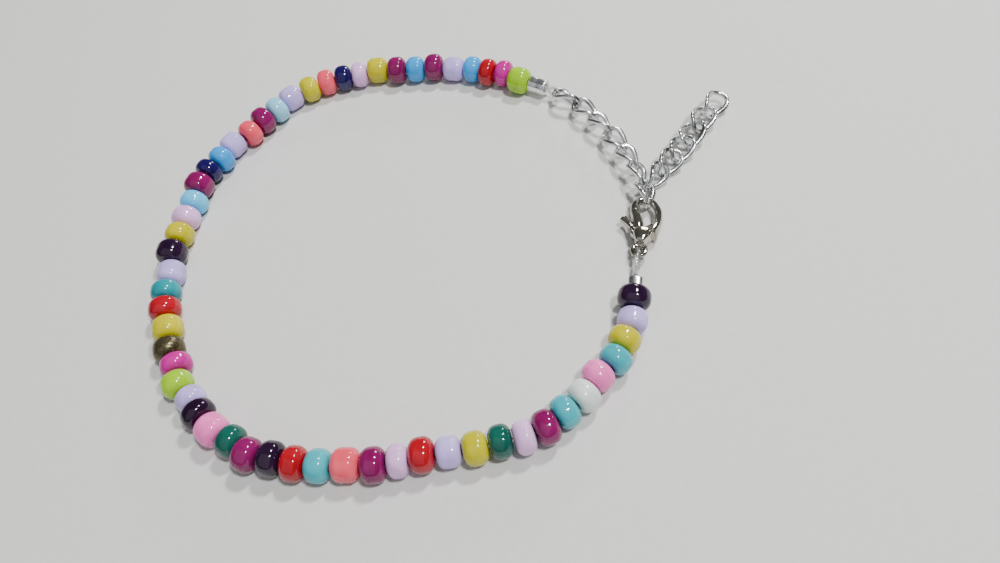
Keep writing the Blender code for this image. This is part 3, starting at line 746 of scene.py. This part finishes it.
def threadLoop(mouth, eye, heldWire, tangent):
    out = (eye - mouth).normalized()
    across = out.cross(tangent).normalized()
    away = across.cross(tangent).normalized()
    away = away if away.dot(out) > 0 else -away
    bend = heldWire / 2 + threads["width"] / 2 + threads["play"]

    def leg(side):
        near = across * side * threads["spread"]
        flare = across * side * (bend + threads["spread"]) / 2
        bow = tangent * side * threads["bow"]
        return [mouth + near, mouth.lerp(eye, threads["near"]) + near,
                mouth.lerp(eye, threads["far"]) + flare + bow * threads["farBow"],
                eye - away * bend * threads["eyeBack"] + across * side * bend + bow * threads["eyeBow"]]

    turn = [eye + (across * math.cos(t) + away * math.sin(t)) * bend
            for t in (math.radians(a) for a in range(0, 181, threads["turnStep"]))]
    return leg(1) + turn + leg(-1)[::-1]


def buildThreads(nylon, lay):
    for node in ("clasp_thread", "chain_thread"):
        loop = tubeAlong(node + "_loop", lay[node], threads["width"], threads["loopSteps"])
        settle(loop, node + "_line", Matrix.Identity(4), nylon, "anklet", node)
    middles = [middle for middle, _ in (lay["chain_crimp"], *lay["beads"], lay["clasp_crimp"])]
    line = tubeAlong("string", middles, threads["width"], threads["stringSteps"])
    settle(line, "bead_thread", Matrix.Identity(4), nylon, "anklet", "bead_string")
    print("threads")


# Run of the whole loop, anticlockwise from the chain's crimp, and of the chain's free end.
# Both keep these points as chosen; the loop is scaled to the length of what is strung on it.
route = {
    "loop": [
        (10.9, 33.2), (2.7, 38.7), (-6.0, 41.6), (-15.0, 43.2), (-23.5, 42.1), (-30.6, 37.1),
        (-36.9, 31.0), (-40.7, 23.6), (-42.9, 15.4), (-43.4, 6.0), (-41.7, -3.4), (-38.2, -11.0),
        (-32.4, -17.0), (-24.4, -20.5), (-15.4, -21.9), (-6.6, -22.2), (1.4, -21.5), (8.2, -17.6),
        (12.9, -13.0), (15.3, -8.2), (16.4, -5.0), (18.0, -0.8), (20.9, 7.3), (21.7, 10.2),
        (20.9, 15.2), (19.2, 21.4), (16.8, 27.0),
    ],
    "tail": [
        (21.75, 10.3), (23.4, 10.7), (25.6, 12.0), (27.9, 14.1), (30.2, 16.4), (32.7, 19.1),
        (35.1, 21.1), (37.4, 22.8),
    ],
    "steps": 24,
}


def smoothRoute(points, closed):
    corners = [Vector((x, y, 0)) for x, y in points]
    count = len(corners)
    headings = []
    for i, corner in enumerate(corners):
        before = corners[i - 1] if closed or i else corner
        after = corners[(i + 1) % count] if closed or i < count - 1 else corner
        headings.append((after - before).normalized())
    line = []
    for i in range(count if closed else count - 1):
        start, end = corners[i], corners[(i + 1) % count]
        reach = (end - start).length / 3
        line += interpolate_bezier(start, start + headings[i] * reach,
                                   end - headings[(i + 1) % count] * reach, end, route["steps"])[:-1]
    line.append(corners[0] if closed else corners[-1])
    return line


def along(line, distance):
    for a, b in zip(line, line[1:]):
        step = (b - a).length
        if distance <= step:
            return a.lerp(b, distance / step)
        distance -= step
    return line[-1] + (line[-1] - line[-2]).normalized() * distance


def runOfLinks(held, line, travelled, rolls, play):
    pitch = chain["length"] - play
    links, crossing = [], None
    for roll in rolls:
        travelled += pitch
        aim = along(line, travelled)
        aim.z = held.z
        heading = (aim - (crossing or held)).normalized()
        crossing = crossing or held + heading * (chain["gauge"] + play) / 2
        links.append((crossing + heading * pitch / 2, heading, roll))
        crossing = crossing + heading * pitch
    return links, crossing, heading


def measureLoop():
    # Distances along the loop, added up from the chain crimp's inner face
    seats = {node: crimp["seat"] for node, crimp in crimps["tubes"].items()}
    marks = {"catch": clasp["rest"][1] - chain["play"] - chain["gauge"] / 2, "beads": [beads["crimpGap"]]}
    for _, cut, _ in beads["string"]:
        marks["beads"].append(marks["beads"][-1] + beads["lengths"][cut])
    claspMouth = marks["beads"][-1] + beads["crimpGap"] + seats["clasp_crimp"]
    marks["clasp_crimp"] = claspMouth - seats["clasp_crimp"] / 2
    marks["eye"] = claspMouth + threads["claspSpan"]
    marks["hook"] = marks["eye"] + marks["catch"]
    marks["crossing"] = marks["hook"] + chain["hookedLength"] + (chain["gauge"] - chain["play"]) / 2
    chainEnd = marks["crossing"] + (chain["length"] - chain["play"]) * len(chain["rolls"])
    marks["whole"] = chainEnd + threads["chainSpan"] + seats["chain_crimp"]
    marks["chain_crimp"] = marks["whole"] - seats["chain_crimp"] / 2
    return marks


def fitRoutes(marks):
    # The frame's chain crimp says where the loop lies
    loop, tail = smoothRoute(route["loop"], True), smoothRoute(route["tail"], False)
    stretch = marks["whole"] / sum((b - a).length for a, b in zip(loop, loop[1:]))
    low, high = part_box("chain_crimp")
    crimpAt = Vector((low + high) / 2 / mm)
    crimpAt.z = 0
    shift = crimpAt - along([p * stretch for p in loop], marks["chain_crimp"])
    return [[p * stretch + shift for p in line] for line in (loop, tail)]


def layBeads(loop, marks):
    places = []
    for (colour, _, drift), start, end in zip(beads["string"], marks["beads"], marks["beads"][1:]):
        a, b = along(loop, start), along(loop, end)
        heading = (b - a).normalized()
        radius = beads["glass"][colour][1] * beads["fullness"] / 2
        places.append(((a + b) / 2 + up.cross(heading) * drift + up * radius, heading))
    return places


def layChain(loop, tail, marks, claspPlace):
    # The links, and where the last one ends and how it runs
    caught = claspPlace @ Vector((clasp["rest"][0] * mm, marks["catch"] * mm, 0)) / mm
    aim = along(loop, marks["crossing"])
    caught.z = aim.z = chain["height"]
    heading = (aim - caught).normalized()
    hooked = caught + heading * (chain["hookedLength"] + chain["gauge"]) / 2
    links = {"hooked_link": (hooked, heading, chain["hookedRoll"])}
    held = caught + heading * (chain["hookedLength"] - chain["sharedBend"])
    beside = up.cross(heading) * (chain["gauge"] + chain["play"]) / 2
    mainRun, last, lastHeading = runOfLinks(held + beside, loop, marks["crossing"],
                                            chain["rolls"], chain["play"])
    tailRun, _, _ = runOfLinks(held - beside, tail, 0, chain["tailRolls"], chain["tailPlay"])
    for name, run in (("chain_link", mainRun), ("tail_link", tailRun)):
        links.update({f"{name}_{i}": link for i, link in enumerate(run, 1)})
    return links, last + lastHeading * (chain["gauge"] + chain["play"]) / 2, lastHeading


def layCrimp(loop, at):
    run = (along(loop, at + crimps["sight"]) - along(loop, at - crimps["sight"])).normalized()
    return along(loop, at) + up * crimps["lift"], run


def crimpMouth(lay, node, side):
    middle, run = lay[node]
    return middle + run * side * (crimps["tubes"][node]["seat"] / 2 + beads["crimpGap"])


def layOut():
    marks = measureLoop()
    loop, tail = fitRoutes(marks)
    half = up * clasp["thickness"] / 2
    eye, aim = along(loop, marks["eye"]) + half, along(loop, marks["hook"]) + half
    claspUp = (aim - eye).normalized()
    lay = {"beads": layBeads(loop, marks), "clasp": placeAt(eye, claspUp.cross(up), 0)}
    lay["links"], end, heading = layChain(loop, tail, marks, lay["clasp"])
    for node in crimps["tubes"]:
        lay[node] = layCrimp(loop, marks[node])
    rim = eye - claspUp * clasp["eyeRadius"]
    lay["clasp_thread"] = threadLoop(crimpMouth(lay, "clasp_crimp", 1), rim, clasp["eyeWire"],
                                     claspUp.cross(up))
    roll = math.radians(chain["rolls"][-1] + chain["twist"] / 2)
    across = up.cross(heading)
    lie = across * math.cos(roll) + heading.cross(across) * math.sin(roll)
    lay["chain_thread"] = threadLoop(crimpMouth(lay, "chain_crimp", -1), end, chain["gauge"], lie)
    return lay


placeCamera()
hangLights()
layFloor()
lay = layOut()
buildBeads(lay)
silver = metalMaterial("silverPlate", metals["silver"])
nickel = metalMaterial("polishedNickel", metals["nickel"])
buildChain(silver, lay)
buildCrimps(silver, lay)
buildClasp(nickel, lay)
buildThreads(nylonMaterial(), lay)
